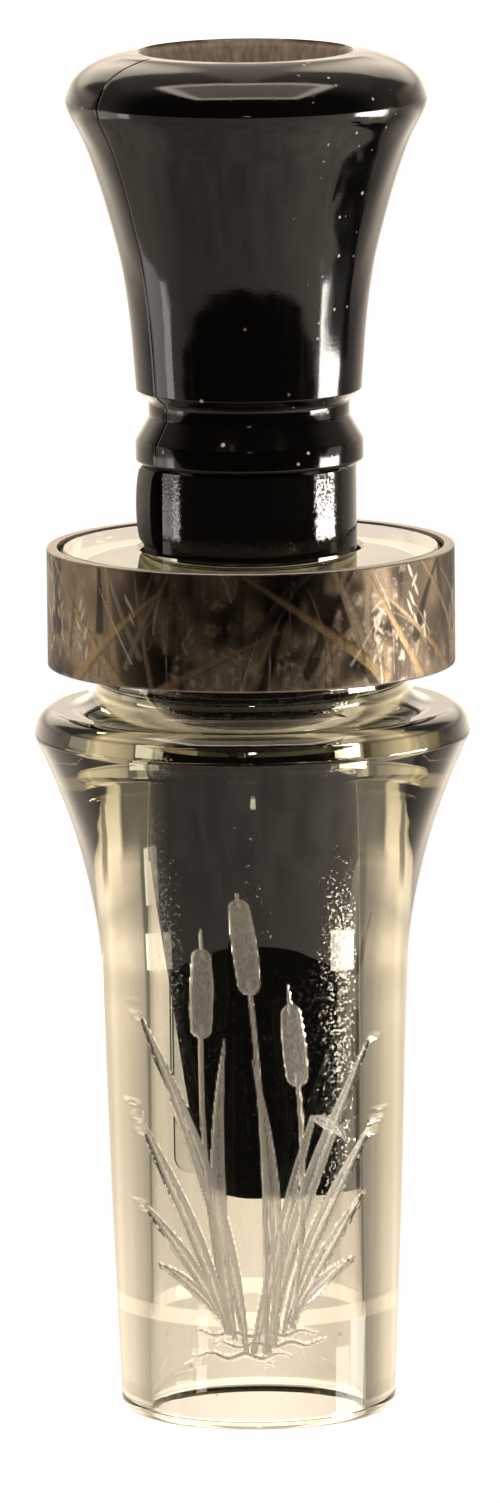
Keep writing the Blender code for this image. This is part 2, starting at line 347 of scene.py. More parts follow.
def add(kind, inputs=None, tree=None, **settings):
    """Adds a shader node to a tree, or else to the tree of its first linked input."""
    inputs = inputs or {}
    tree = tree or next(value.id_data for value in inputs.values() if linked(value))
    node = tree.nodes.new("ShaderNode" + kind)
    for key, value in settings.items():
        setattr(node, key, value)
    for key, value in inputs.items():
        put(node.inputs[key], value)
    return node


def fill(shader, **values):
    """Sets a shader's inputs by name, with _ for a space."""
    for key, value in values.items():
        put(shader.inputs[key.replace("_", " ")], value)


def baked(shader, name, output="Fac"):
    """What was stored on the mesh under that name."""
    return add("Attribute", tree=shader.id_data, attribute_name=name).outputs[output]


def noise(where, scale, detail=2.0, roughness=0.5):
    inputs = {"Vector": where, "Scale": scale, "Detail": detail, "Roughness": roughness}
    return add("TexNoise", inputs).outputs["Fac"]


def stretched(where, x, y, z):
    return add("Mapping", {"Vector": where, "Scale": (x, y, z)}).outputs["Vector"]


def grey(level):
    return (level, level, level)


def ramp(factor, *stops):
    """A colour ramp. Each stop is (position, grey) or (position, (r, g, b))."""
    node = add("ValToRGB", {"Fac": factor})
    elements = node.color_ramp.elements
    while len(elements) < len(stops):
        elements.new(0.5)
    for element, (position, colour) in zip(elements, stops):
        element.position = position
        element.color = (*(colour if isinstance(colour, tuple) else grey(colour)), 1.0)
    return node.outputs["Color"]


def mixed(factor, first, second, blend="MIX"):
    """The first colour where the factor is 0 and the second where it is 1."""
    colours = [value if linked(value) else (*value, 1.0) for value in (first, second)]
    inputs = {0: factor, 6: colours[0], 7: colours[1]}
    return add("Mix", inputs, data_type="RGBA", blend_type=blend).outputs[2]


def mixed_value(factor, first, second):
    """The same for numbers."""
    return add("Mix", {0: factor, 2: first, 3: second}, data_type="FLOAT").outputs[0]


def maths(operation, first, second=0.0):
    return add("Math", {0: first, 1: second}, operation=operation).outputs[0]


def product(first, *others):
    for other in others:
        first = maths("MULTIPLY", first, other)
    return first


def vectors(operation, first, second=(0.0, 0.0, 0.0)):
    """A vector operation's result, which is a number for a dot product."""
    node = add("VectorMath", {0: first, 1: second}, operation=operation)
    return node.outputs["Value" if operation == "DOT_PRODUCT" else "Vector"]


def rise(value, start, end):
    """0 where the value is before start, 1 past end, and smooth between them."""
    inputs = {"Value": value, "From Min": start, "From Max": end}
    node = add("MapRange", inputs, interpolation_type="SMOOTHSTEP")
    return node.outputs["Result"]


def bump(height, strength, distance, normal=None):
    inputs = {"Height": height, "Strength": strength, "Distance": distance}
    if normal is not None:
        inputs["Normal"] = normal
    return add("Bump", inputs).outputs["Normal"]


def specks(where, scale, share):
    """Small scattered dots: 1 in a dot and 0 elsewhere. About share of the cells have one."""
    cells = add("TexVoronoi", {"Vector": where, "Scale": scale})
    near = ramp(cells.outputs["Distance"], (0.10, 1.0), (0.20, 0.0))
    pick = add("SeparateColor", {"Color": cells.outputs["Color"]}).outputs["Red"]
    return product(near, maths("LESS_THAN", pick, share))


# ---------------------------------------------------------------- materials


GLINT_SIDE_TURN = math.radians(38)  # how far round from the front the bell's side towards the right light is, where dense white dust specks are painted glints
STYRENE_ACRYLIC_IOR = 1.585
SMOKE = (0.52, 0.49, 0.31, 1.0)
SMOKE_DENSITY = 100.0
FACET_SCALE = 6000
BOARD_TILT, NECK_TILT = 0.34, 0.035  # how far the facets lean, as parts of the normal


def polished_black():
    """Glossy moulded black with faint flow waviness and dust specks; dense white specks on the side towards
    the right light are painted glints; the dull bored mouth is painted brown-grey near its opening as
    painted light.
    """
    material, shader, where = new_material("polished_black")
    angle = FRONT + GLINT_SIDE_TURN
    outwards = vectors("NORMALIZE", stretched(where, 1, 1, 0))
    side = vectors("DOT_PRODUCT", outwards, (math.cos(angle), math.sin(angle), 0))
    # Painted glints: dense white dust specks on the side that faces the right light.
    glint_side = rise(side, 0.93, 0.99)
    painted_glints = product(specks(where, 1250, 0.24), glint_side)
    # This mask holds the dust specks all over the bell and the painted glints on its lit side.
    speck_mask = maths("MAXIMUM", specks(where, 900, 0.035), painted_glints)
    colour = mixed(speck_mask, (0.0022, 0.0020, 0.0018), (0.80, 0.76, 0.70))
    # The bored mouth: rougher and less shiny, and painted brown-grey near the opening, fading to black
    # deeper in: painted light falling into the mouth.
    bore_and_painted_light = baked(shader, "bore_and_painted_light")
    turned = noise(stretched(where, 2600, 2600, 300), 1.0, 3.0)
    bare = ramp(turned, (0.3, (0.26, 0.21, 0.17)), (0.7, (0.50, 0.42, 0.35)))
    wear = noise(stretched(where, 900, 900, 90), 1.0, 4.0)
    rough = ramp(wear, (0.35, 0.055), (0.62, 0.10), (0.75, 0.22))
    rough = mixed(bore_and_painted_light, rough, grey(0.5))
    rough = mixed(speck_mask, rough, grey(0.7))
    wave = noise(where, 260, 1.0)
    grain = noise(where, 5200, 2.0)
    normal = bump(wave, 0.10, 0.0004)
    normal = bump(grain, 0.07, 0.00003, normal)
    normal = bump(speck_mask, 0.4, 0.00005, normal)
    shine = mixed(bore_and_painted_light, grey(0.5), grey(0.3))
    fill(shader, IOR=1.5, Metallic=0.0, Base_Color=mixed(bore_and_painted_light, colour, bare), Roughness=rough)
    fill(shader, Specular_IOR_Level=shine, Normal=normal)
    return material


def satin_black():
    """Black moulding with a spark-eroded texture: tiny facets that break its highlights into sparkle."""
    material, shader, where = new_material("satin_black")
    tone = noise(where, 700, 3.0)
    colour = ramp(tone, (0.3, (0.0018, 0.0016, 0.0013)), (0.75, (0.005, 0.0044, 0.0036)))
    height = add("SeparateXYZ", {0: where}).outputs["Z"]
    polish = rise(height, SHANK_BOTTOM - 1 * MM, BARREL_TOP)
    rough = ramp(noise(where, 900, 2.0), (0.3, 0.04), (0.7, 0.14))
    rough = mixed(polish, rough, grey(0.05))
    shine = mixed(polish, grey(0.5), grey(0.9))
    tilt = mixed(polish, grey(BOARD_TILT), grey(NECK_TILT))
    facets = add("TexVoronoi", {"Vector": where, "Scale": FACET_SCALE}).outputs["Color"]
    lean = vectors("MULTIPLY", vectors("SUBTRACT", facets, grey(0.5)), tilt)
    square = add("NewGeometry", tree=shader.id_data).outputs["Normal"]
    normal = vectors("NORMALIZE", vectors("ADD", square, lean))
    normal = bump(noise(where, 5200, 2.0, 0.6), 0.12, 0.00004, normal)
    fill(shader, IOR=1.5, Base_Color=colour, Roughness=rough, Specular_IOR_Level=shine, Normal=normal)
    return material


def black_rubber():
    """Soft dark wedge: fine grain, a little dusty, with faint cut marks."""
    material, shader, where = new_material("black_rubber")
    tone = noise(where, 2600, 4.0, 0.7)
    colour = ramp(tone, (0.35, (0.006, 0.005, 0.0042)), (0.72, (0.03, 0.026, 0.021)))
    rough = ramp(tone, (0.3, 0.42), (0.7, 0.62))
    marks = noise(stretched(where, 300, 300, 4200), 1.0, 3.0)
    normal = bump(tone, 0.5, 0.00008)
    normal = bump(marks, 0.25, 0.00004, normal)
    fill(shader, IOR=1.48, Base_Color=colour, Roughness=rough, Normal=normal)
    return material


def smoke_clear():
    """Clear smoke-tinted moulding. The engraved attribute frosts the cut motif."""
    material, shader, where = new_material("smoke_clear")
    tree = shader.id_data
    cut = baked(shader, "engraved")
    grit = noise(where, 9000, 3.0, 0.7)
    speck_mask = specks(where, 800, 0.05)
    colour = mixed(speck_mask, (0.99, 0.985, 0.975), (0.62, 0.56, 0.46))
    clear = ramp(noise(where, 300, 3.0), (0.4, 0.0), (0.75, 0.035))
    rough = mixed(cut, clear, grey(0.42))
    wave = noise(stretched(where, 120, 120, 40), 1.0, 1.0)
    normal = bump(wave, 0.05, 0.0002)
    normal = bump(product(grit, cut), 0.7, 0.00006, normal)
    fill(shader, IOR=STYRENE_ACRYLIC_IOR, Transmission_Weight=1.0, Base_Color=colour, Roughness=rough)
    fill(shader, Normal=normal)
    chalk = add("BsdfDiffuse", {"Color": (0.90, 0.87, 0.80, 1.0), "Roughness": 0.6}, tree)
    silver = {"Color": (0.92, 0.88, 0.80, 1.0), "Roughness": 0.45, "Normal": normal}
    silver = add("BsdfAnisotropic", silver)
    frost = add("MixShader", {0: 0.45, 1: chalk.outputs[0], 2: silver.outputs[0]})
    share = product(ramp(grit, (0.3, 0.62), (0.7, 0.95)), cut)
    surface = add("MixShader", {0: share, 1: shader.outputs[0], 2: frost.outputs[0]})
    smoke = add("VolumeAbsorption", {"Color": SMOKE, "Density": SMOKE_DENSITY}, tree)
    fill(tree.nodes["Material Output"], Surface=surface.outputs[0], Volume=smoke.outputs[0])
    return material


def printed_metal():
    """Brushed aluminium under a dark marsh-grass print that carries painted light and shade, worn to metal
    along its two rims.
    """
    material, shader, where = new_material("printed_metal")
    print_with_painted_light = baked(shader, "print", "Color")
    dots = noise(where, 7000, 3.0, 0.75)
    brushed = noise(stretched(where, 5200, 5200, 260), 1.0, 3.0, 0.7)
    colour = mixed(0.55, print_with_painted_light, ramp(dots, (0.32, 0.35), (0.70, 1.0)), "MULTIPLY")
    colour = mixed(0.22, colour, ramp(brushed, (0.40, 0.30), (0.65, 1.0)), "MULTIPLY")
    bare = baked(shader, "bare")
    colour = mixed(bare, colour, (0.50, 0.45, 0.40))
    metal = ramp(bare, (0.0, 0.93), (1.0, 1.0))
    rough = ramp(brushed, (0.30, 0.36), (0.72, 0.56))
    normal = bump(brushed, 0.22, 0.00003)
    normal = bump(dots, 0.12, 0.00002, normal)
    fill(shader, Base_Color=colour, Metallic=metal, Roughness=rough, Normal=normal)
    return material


def reed_film():
    """Thin clear polyester film with a faint scuff."""
    material, shader, where = new_material("reed_film")
    scuff = noise(stretched(where, 2400, 2400, 200), 1.0, 3.0)
    rough = ramp(scuff, (0.4, 0.05), (0.7, 0.22))
    colour = ramp(scuff, (0.3, (0.93, 0.95, 0.96)), (0.7, (0.84, 0.86, 0.88)))
    fill(shader, IOR=1.6, Transmission_Weight=1.0, Base_Color=colour, Roughness=rough)
    return material


# ---------------------------------------------------------------- barrel


MOTIF_HALF = 10.2 * MM  # how far the engraving reaches each side of the front, round the barrel
MOTIF_BOTTOM = 5.5 * MM
MOTIF_TOP = 44.0 * MM
MOTIF_RADIUS = 12.0 * MM
CUT_DEPTH = 0.22 * MM
CUT_SPACING = 0.14 * MM
WALL_SPACING = 0.4 * MM
FLAT_HOLD = 0.06 * MM  # extra rows this close to a flat's ends keep its shading flat


def barrel_profile():
    outside = filled([(BARREL_TOP, SEAT_RADIUS - EDGE), (BARREL_TOP - EDGE, SEAT_RADIUS)], 0.2 * MM)
    seat_low = SEAT_BOTTOM + FLAT_HOLD
    outside += filled([(BARREL_TOP - EDGE, SEAT_RADIUS), (seat_low, SEAT_RADIUS)], 3 * MM)[1:-1]
    outside += [(seat_low, SEAT_RADIUS), (SEAT_BOTTOM, SEAT_RADIUS), (SEAT_BOTTOM, SEAT_RADIUS - FLAT_HOLD)]
    outside += [(SEAT_BOTTOM, GROOVE_RADIUS + GROOVE_FILLET + FLAT_HOLD)]
    outside += arc(SEAT_BOTTOM - GROOVE_FILLET, GROOVE_RADIUS + GROOVE_FILLET, GROOVE_FILLET, 90, 180, 8)
    outside += arc(FLANGE_TOP + DISH_FILLET, GROOVE_RADIUS + DISH_FILLET, DISH_FILLET, 180, 270, 14)
    inner, outer = GROOVE_RADIUS + DISH_FILLET, FLANGE_FLAT
    outside += [(FLANGE_TOP, r) for r in (inner + FLAT_HOLD, (inner + outer) / 2, outer - FLAT_HOLD, outer)]
    outside += arc(FLANGE_TOP - FLANGE_ROUND, FLANGE_FLAT, FLANGE_ROUND, 86, 20, 10)
    outside += arc(FLANGE_Z + 0.3 * MM, FLANGE_RADIUS - FLANGE_LIP, FLANGE_LIP, 15, -28, 5)
    heights, radii = zip(*smooth_run(BARREL_STATIONS, 60))
    levels = np.concatenate([
        np.arange(heights[-1], MOTIF_TOP, -WALL_SPACING),
        np.arange(MOTIF_TOP, MOTIF_BOTTOM, -CUT_SPACING),
        np.linspace(MOTIF_BOTTOM, heights[0], 8),
    ])
    outside += [(float(z), float(r)) for z, r in zip(levels, np.interp(levels, heights, radii))]
    outside += arc(MOUTH_ROUND, MOUTH_RADIUS - MOUTH_ROUND, MOUTH_ROUND, 0, -90, 8)
    inside = [
        (0.0, LEADE_RADIUS + EDGE),
        (EDGE * 0.3, LEADE_RADIUS + EDGE * 0.3),
        (EDGE, LEADE_RADIUS),
        (EDGE + FLAT_HOLD, LEADE_RADIUS),
        (LEADE_TOP - FLAT_HOLD, LEADE_RADIUS),
        (LEADE_TOP, LEADE_RADIUS),
        (LEADE_TOP + 4 * EDGE, BORE_RADIUS),
        (LEADE_TOP + 4 * EDGE + FLAT_HOLD, BORE_RADIUS),
        (SOCKET_BOTTOM - FLAT_HOLD, BORE_RADIUS),
        (SOCKET_BOTTOM, BORE_RADIUS),
        (SOCKET_BOTTOM + EDGE, SOCKET_RADIUS),
        (SOCKET_BOTTOM + EDGE + FLAT_HOLD, SOCKET_RADIUS),
        (BARREL_TOP - EDGE - FLAT_HOLD, SOCKET_RADIUS),
        (BARREL_TOP - EDGE, SOCKET_RADIUS),
        (BARREL_TOP, SOCKET_RADIUS + EDGE),
        (BARREL_TOP, SOCKET_RADIUS + EDGE + FLAT_HOLD),
        (BARREL_TOP, SEAT_RADIUS - EDGE - FLAT_HOLD),
    ]
    return outside + inside


def front_angles():
    """Columns round the barrel: fine where the motif is, coarser round the rest."""
    half = MOTIF_HALF / MOTIF_RADIUS
    fine = np.linspace(FRONT - half, FRONT + half, 170)
    coarse = np.linspace(FRONT + half, FRONT - half + 2 * math.pi, 74)
    return np.concatenate([fine, coarse[1:-1]])


def marsh_motif(s, z):
    """Cut depth, from 0 to 1, of a cattail clump: heads, stems, arching leaves and water lines."""
    depth = np.zeros(s.shape)
    brushed = mottle(s * 6 + z, z * 1.5, 0.35 * MM, 17)

    def cut(points, start, end, belly=0.0, vein=0.0, fill=1.0):
        """Carves a stroke. fill under 1 leaves its middle shallower than its outline."""
        nonlocal depth
        points = [(a * MM, b * MM) for a, b in points]
        inside, side = stroke(s, z, points, start * MM, end * MM, belly * MM)
        shape = smoothstep(-0.05 * MM, 0.08 * MM, inside)
        middle = smoothstep(0.10 * MM, 0.30 * MM, inside)
        shape = shape * (1 - middle * (1 - fill * (0.75 + 0.5 * brushed)))
        shape = shape * (1 - vein * np.exp(-((side / 0.07) ** 2)))
        depth = np.maximum(depth, np.clip(shape, 0, 1))

    stems = ((-2.4, 8.0, 101, -13, 25.0, 5.6), (0.6, 6.5, 88, 8, 30.0, 6.2), (3.0, 8.5, 82, 14, 20.5, 5.0))
    for base, low, heading, bend, length, head_length in stems:
        line = bent_line((base, low), heading, length, bend)
        cut(line, 0.46, 0.34)
        top = heading + bend
        head = bent_line(line[-1], top, head_length, 0, 4)
        cut(head, 1.75, 1.55, belly=0.25, fill=0.62)
        cut(bent_line(head[-1], top, 2.4, 0, 3), 0.34, 0.14)
    leaves = (
        (-2.6, 8.0, 104, 26, 21.0, 1.05), (-2.0, 7.6, 100, -18, 24.5, 0.95), (-1.0, 6.4, 96, 27, 30.0, 1.15),
        (0.9, 6.4, 82, -26, 28.0, 1.10), (1.4, 7.0, 86, 16, 23.5, 0.85), (2.2, 8.0, 78, -34, 20.5, 1.0),
        (2.9, 8.8, 68, -26, 12.5, 0.9), (-3.2, 9.2, 114, 34, 12.0, 0.85), (3.3, 9.6, 56, -40, 7.0, 0.7),
        (-3.6, 9.6, 126, 40, 6.5, 0.6),
    )
    for base, low, heading, bend, length, belly in leaves:
        cut(bent_line((base, low), heading, length, bend, 18), 0.35, 0.08, belly=belly, vein=0.5, fill=0.8)
    snapped = bent_line((-0.4, 6.6), 77, 19.5, -4, 8)
    cut(snapped, 0.5, 0.4, belly=0.5, vein=0.5, fill=0.8)
    cut(bent_line(snapped[-1], -16, 3.8, -34, 8), 0.4, 0.06, belly=0.8, vein=0.5, fill=0.8)
    for row, (left, right) in enumerate(((-5.4, 5.2), (-3.8, 6.0), (-5.8, 2.8), (-2.0, 4.0))):
        level = 8.0 - 0.9 * row
        ripple = [(x, level + 0.2 * math.sin(x * 2.1 + row * 2.0)) for x in np.linspace(left, right, 26)]
        cut(ripple, 0.10, 0.10, belly=0.26)
    return depth


def make_barrel(material):
    z, r, normal_z, normal_r, angle = lathe_grid(barrel_profile(), front_angles())
    turn = (angle - FRONT + math.pi) % (2 * math.pi) - math.pi
    outer = (r > 10 * MM) & (z > MOTIF_BOTTOM) & (z < MOTIF_TOP)
    depth = np.where(outer, marsh_motif(turn * MOTIF_RADIUS, z), 0.0)
    z = z - normal_z * depth * CUT_DEPTH
    r = r - normal_r * depth * CUT_DEPTH
    barrel = grid_object("clear_barrel", z, r, angle)
    point_values(barrel, "engraved", depth)
    surfaced(barrel, material, 30)
    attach(barrel, "barrel")
    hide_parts("barrel")


# ---------------------------------------------------------------- band


BAND_SPACING = 0.125 * MM
DARK_WATER = (0.012, 0.009, 0.006)
MUD = (0.085, 0.063, 0.045)
DEAD_GRASS = (0.34, 0.26, 0.18)
PALE_STRAW = (0.66, 0.57, 0.45)
GREEN_STALK = (0.10, 0.11, 0.05)


def over(picture, mask, colour):
    return picture * (1 - mask[..., None]) + np.array(colour) * mask[..., None]


def grass_print(u, v, girth):
    """A dark marsh print: mud and water mottles, reed stalks, thin blades and seed heads, with painted light
    on two sides of the front and painted shade in its upper middle.
    """
    height = BAND_HIGH.z - BAND_LOW.z
    big = mottle(u, v * 0.8, 7 * MM, 3, girth)
    mid = mottle(u, v, 2.2 * MM, 5, girth)
    small = mottle(u, v * 0.7, 0.7 * MM, 8, girth)
    fine = mottle(u, v, 0.28 * MM, 13, girth)
    picture = np.zeros((*u.shape, 3)) + np.array(DARK_WATER)
    picture = over(picture, smoothstep(0.34, 0.62, 0.55 * big + 0.45 * mid), MUD)
    picture = over(picture, 0.85 * smoothstep(0.46, 0.70, 0.45 * big + 0.3 * mid + 0.25 * small), DEAD_GRASS)
    speckle = smoothstep(0.55, 0.8, 0.5 * small + 0.5 * fine) * smoothstep(0.45, 0.75, big)
    picture = over(picture, 0.55 * speckle, PALE_STRAW)
    turn = (u - girth / 2) / BAND_RADIUS  # round from the front to the right
    # Painted light: lighter dead grass to the left and right of the front, where the side lights fall.
    painted_side_light = smoothstep(0.45, 0.05, np.abs(turn + 0.85)) + smoothstep(0.35, 0.05, np.abs(turn - 1.05))
    picture = over(picture, painted_side_light * (0.3 + 0.5 * mid), DEAD_GRASS)
    random = np.random.RandomState(21)
    uniform = random.uniform

    def spot(low, high):
        return (uniform(0, girth), uniform(low, high) * height)

    def blade(start, heading, length, bend, width, colour, strength, belly=0.0):
        nonlocal picture
        line = bent_line(start, heading, length, bend, 8)
        for shift in (-girth, 0, girth):
            moved = [(a + shift, b) for a, b in line]
            low, high = min(a for a, _ in moved) - width, max(a for a, _ in moved) + width
            near = (u[0] > low) & (u[0] < high)
            if not near.any():
                continue
            inside, side = stroke(u[:, near], v[:, near], moved, width, width * 0.25, belly)
            mask = strength * smoothstep(-0.06 * MM, 0.08 * MM, inside)
            shade = 1 - 0.55 * smoothstep(0.0, 0.45, side) + 0.25 * (fine[:, near] - 0.5)
            tint = np.array(colour) * np.clip(shade, 0.2, 1.3)[..., None]
            picture[:, near] = over(picture[:, near], mask, tint)

    for _ in range(46):
        start = spot(-0.3, 0.5)
        colour = (MUD, DEAD_GRASS, DARK_WATER)[random.randint(3)]
        blade(start, uniform(55, 125), uniform(5, 12) * MM, uniform(-30, 30),
              uniform(0.5, 1.3) * MM, colour, 0.75)
    for _ in range(17):
        start = spot(-0.5, 0.1)
        heading = random.choice((uniform(28, 62), uniform(118, 152)))
        blade(start, heading, uniform(12, 20) * MM, uniform(-12, 12),
              uniform(0.7, 1.25) * MM, (0.36, 0.25, 0.13), 0.85)
    for _ in range(60):
        start = spot(-0.2, 0.8)
        blade(start, uniform(45, 140), uniform(3, 8) * MM, uniform(-40, 40),
              uniform(0.10, 0.26) * MM, (PALE_STRAW, DEAD_GRASS)[random.randint(2)], 0.8)
    for _ in range(34):
        foot = spot(0.1, 0.55)
        heading = uniform(65, 115)
        for seed in range(random.randint(3, 7)):
            start = (foot[0] + uniform(-0.5, 0.5) * MM, foot[1] + seed * 0.75 * MM)
            blade(start, heading + random.choice((-32, 30)), uniform(0.8, 1.5) * MM, 0,
                  0.12 * MM, PALE_STRAW, 0.85, belly=0.22 * MM)
    for _ in range(14):
        start = spot(0.0, 0.4)
        blade(start, uniform(60, 120), uniform(2.5, 5) * MM, uniform(-20, 20),
              uniform(0.2, 0.45) * MM, GREEN_STALK, 0.7)
    # Painted shade: the upper middle of the front is darkened by up to half.
    shade = smoothstep(0.5, 0.2, np.abs(turn + 0.12)) * smoothstep(0.2, 0.5, v / height)
    return picture * (1 - 0.5 * shade[..., None])


def make_band(material):
    bevel = 0.15 * MM
    low, high = BAND_LOW.z + bevel, BAND_HIGH.z - bevel
    outside = arc(high, BAND_RADIUS - bevel, bevel, 90, 0, 5)
    outside += filled([(high, BAND_RADIUS), (low, BAND_RADIUS)], BAND_SPACING)[1:]
    outside += arc(low, BAND_RADIUS - bevel, bevel, 0, -90, 5)[1:]
    profile = outside + [(BAND_LOW.z, BAND_BORE), (BAND_HIGH.z, BAND_BORE)]
    girth = 2 * math.pi * BAND_RADIUS
    angles = even_angles(round(girth / BAND_SPACING), VIEW_AZIMUTH + math.pi / 2)
    z, r, _, _, angle = lathe_grid(profile, angles)
    band = grid_object("printed_band", z, r, angle)
    picture = grass_print((angle - angle[0, 0]) * BAND_RADIUS, z - BAND_LOW.z, girth)
    # The stored print also holds the painted light and shade from grass_print.
    point_colours(band, "print", picture)
    wear = mottle(angle * BAND_RADIUS, z, 0.9 * MM, 31)
    from_rim = np.minimum(BAND_HIGH.z - z, z - BAND_LOW.z)
    bare = 1 - smoothstep(0.03 * MM, 0.13 * MM + 0.10 * MM * wear, from_rim)
    bare = np.where(r < BAND_RADIUS - 2 * bevel, 1.0, bare * 0.75)
    point_values(band, "bare", bare)
    surfaced(band, material, 40)
    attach(band, "barrel")
    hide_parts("band")


# ---------------------------------------------------------------- end bell


FLARE_STEPS = 12
SEAM_WIDTH = 0.09 * MM
SEAM_DEPTH = 0.07 * MM
SEAM_CLEAR = 0.034  # radians each side of the seam that keep only the seam's own columns


def bell_profile():
    outside = smooth_run(DOME_STATIONS, 8)
    outside += smooth_run(BELL_STATIONS, 8)[1:]
    foot_z, foot_r = BELL_STATIONS[-1]
    outside[-1] = (foot_z + 0.35 * MM, foot_r + 0.02 * MM)
    outside += arc(foot_z + BELL_FOOT_ROUND, foot_r - BELL_FOOT_ROUND, BELL_FOOT_ROUND, 0, -75, 5)
    groove = BELL_GROOVE_RADIUS + BELL_GROOVE_ROUND
    outside += arc(BELL_GROOVE_TOP + 0.2 * MM, groove, BELL_GROOVE_ROUND, 110, 180, 6)
    outside += arc(BELL_GROOVE_BOTTOM + 0.2 * MM, groove, BELL_GROOVE_ROUND, 180, 210, 4)
    outside += arc(BEAD_TOP - 0.5 * MM, BEAD_RADIUS - BEAD_ROUND, BEAD_ROUND, 34, 0, 4)
    under = BEAD_UNDER_ROUND
    outside += arc(BELL_LOW.z + under, BEAD_RADIUS - under, under, 0, -90, 6)
    inside = [(BELL_LOW.z, BELL_SOCKET_RADIUS), (BELL_SOCKET_TOP, BELL_SOCKET_RADIUS)]
    inside += smooth_run(FLARE_STATIONS, FLARE_STEPS)
    return outside + inside


def seam_angles():
    """Columns round the bell, with extra ones where its two mould halves met at +X and -X."""
    columns = list(even_angles(240))
    widths = [-3.0, -2.0, -1.3, -0.8, -0.4, 0.0, 0.4, 0.8, 1.3, 2.0, 3.0]
    near = np.array(widths) * SEAM_WIDTH / BEAD_RADIUS
    for side in (0.0, math.pi):
        columns = [a for a in columns if abs((a - side + math.pi) % (2 * math.pi) - math.pi) > SEAM_CLEAR]
        columns += [(side + a) % (2 * math.pi) for a in near]
    return sorted(columns)


def make_bell(material):
    z, r, normal_z, normal_r, angle = lathe_grid(bell_profile(), seam_angles())
    sideways = np.minimum(abs(np.sin(angle)), 0.2) * r
    flare_rows = len(smooth_run(FLARE_STATIONS, FLARE_STEPS))
    outer_rows = np.arange(z.shape[0])[:, None] < z.shape[0] - flare_rows - 2
    wobble = 0.7 + 0.6 * mottle(z, z * 0, 2.5 * MM, 9)
    seam = SEAM_DEPTH * wobble * np.exp(-((sideways / SEAM_WIDTH) ** 2)) * outer_rows
    seam = seam * ((z > BELL_LOW.z + 0.4 * MM) & (z < BELL_HIGH.z - 0.05 * MM))
    bell = grid_object("polished_bell", z - normal_z * seam, r - normal_r * seam, angle)
    # The mouth's mask: 0 deep in the bell and 1 near the opening, where its painted light is brightest.
    deep = smoothstep(BELL_HIGH.z - 14 * MM, BELL_HIGH.z - 4 * MM, z)
    point_values(bell, "bore_and_painted_light", (1 - outer_rows) * deep * (z < BELL_HIGH.z - 0.35 * MM))
    surfaced(bell, material, 40)
    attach(bell, "insert")
    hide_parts("end_bell")


# ---------------------------------------------------------------- tone board, wedge and reeds


TURNED_SEGMENTS = 160
WELD = 0.001 * MM  # points nearer than this are one
ALONG_X = (math.pi / 2, 0.0, math.pi / 2)
ALONG_Y = (math.pi / 2, 0.0, 0.0)


def turned_solid(name, profile):
    """A solid turned about Z from (height, radius) points that start and end on the axis."""
    shape = bmesh.new()
    corners = [shape.verts.new((radius, 0.0, height)) for height, radius in profile]
    for first, second in zip(corners, corners[1:]):
        shape.edges.new((first, second))
    bmesh.ops.spin(shape, geom=shape.verts[:] + shape.edges[:], cent=(0, 0, 0), axis=(0, 0, 1),
                   angle=2 * math.pi, steps=TURNED_SEGMENTS, use_merge=True)
    bmesh.ops.remove_doubles(shape, verts=shape.verts, dist=2 * WELD)
    return object_from(name, shape)


def plate(name, outline, thickness, rotation, middle=(0, 0, 0)):
    """A flat closed outline made a solid, thickness thick about its own plane."""
    shape = bmesh.new()
    ring = [shape.verts.new((across, along, -thickness / 2)) for across, along in outline]
    face = shape.faces.new(ring)
    pushed = bmesh.ops.extrude_face_region(shape, geom=[face])["geom"]
    moved = [v for v in pushed if isinstance(v, bmesh.types.BMVert)]
    bmesh.ops.translate(shape, verts=moved, vec=(0, 0, thickness))
    obj = object_from(name, shape)
    obj.rotation_euler = rotation
    obj.location = middle
    return obj


def cut(obj, other, operation="DIFFERENCE"):
    """Applies a Boolean and removes the other object."""
    boolean = obj.modifiers.new("Cut", "BOOLEAN")
    boolean.operation = operation
    boolean.solver = "EXACT"
    boolean.object = other
    apply_modifiers(obj)
    bpy.data.objects.remove(other, do_unlink=True)


def face_outline():
    """The space over the board's face as (depth towards +Y, height)."""
    far = 2 * SHANK_RADIUS
    face = [(depth, height) for height, depth in smooth_run(FACE_STATIONS, 8)]
    return [(far, SHOULDER), (0.0, SHOULDER)] + face + [(far, face[-1][1])]


def channel_outline():
    half = CHANNEL_WIDTH / 2
    outline = [(half, SHOULDER + 1 * MM), (-half, SHOULDER + 1 * MM)]
    end = arc(CHANNEL_TIP + half, 0.0, half, 180, 360, 24)
    return outline + [(across, height) for height, across in end]


def tip_outline():
    """The board seen from the reeds, with its two round corners at the tip."""
    half = SHANK_RADIUS + 2 * MM
    high, low = BOARD_HIGH.z + 2 * MM, BOARD_LOW.z + 8 * MM
    widest = BOARD_RADIUS + 0.2 * MM
    corner = arc(BOARD_LOW.z + TIP_CORNER, widest - TIP_CORNER, TIP_CORNER, 0, -90, 12)
    outline = [(half, high), (-half, high), (-half, low)]
    outline += [(-across, height) for height, across in corner]
    outline += [(across, height) for height, across in reversed(corner)]
    return outline + [(half, low)]


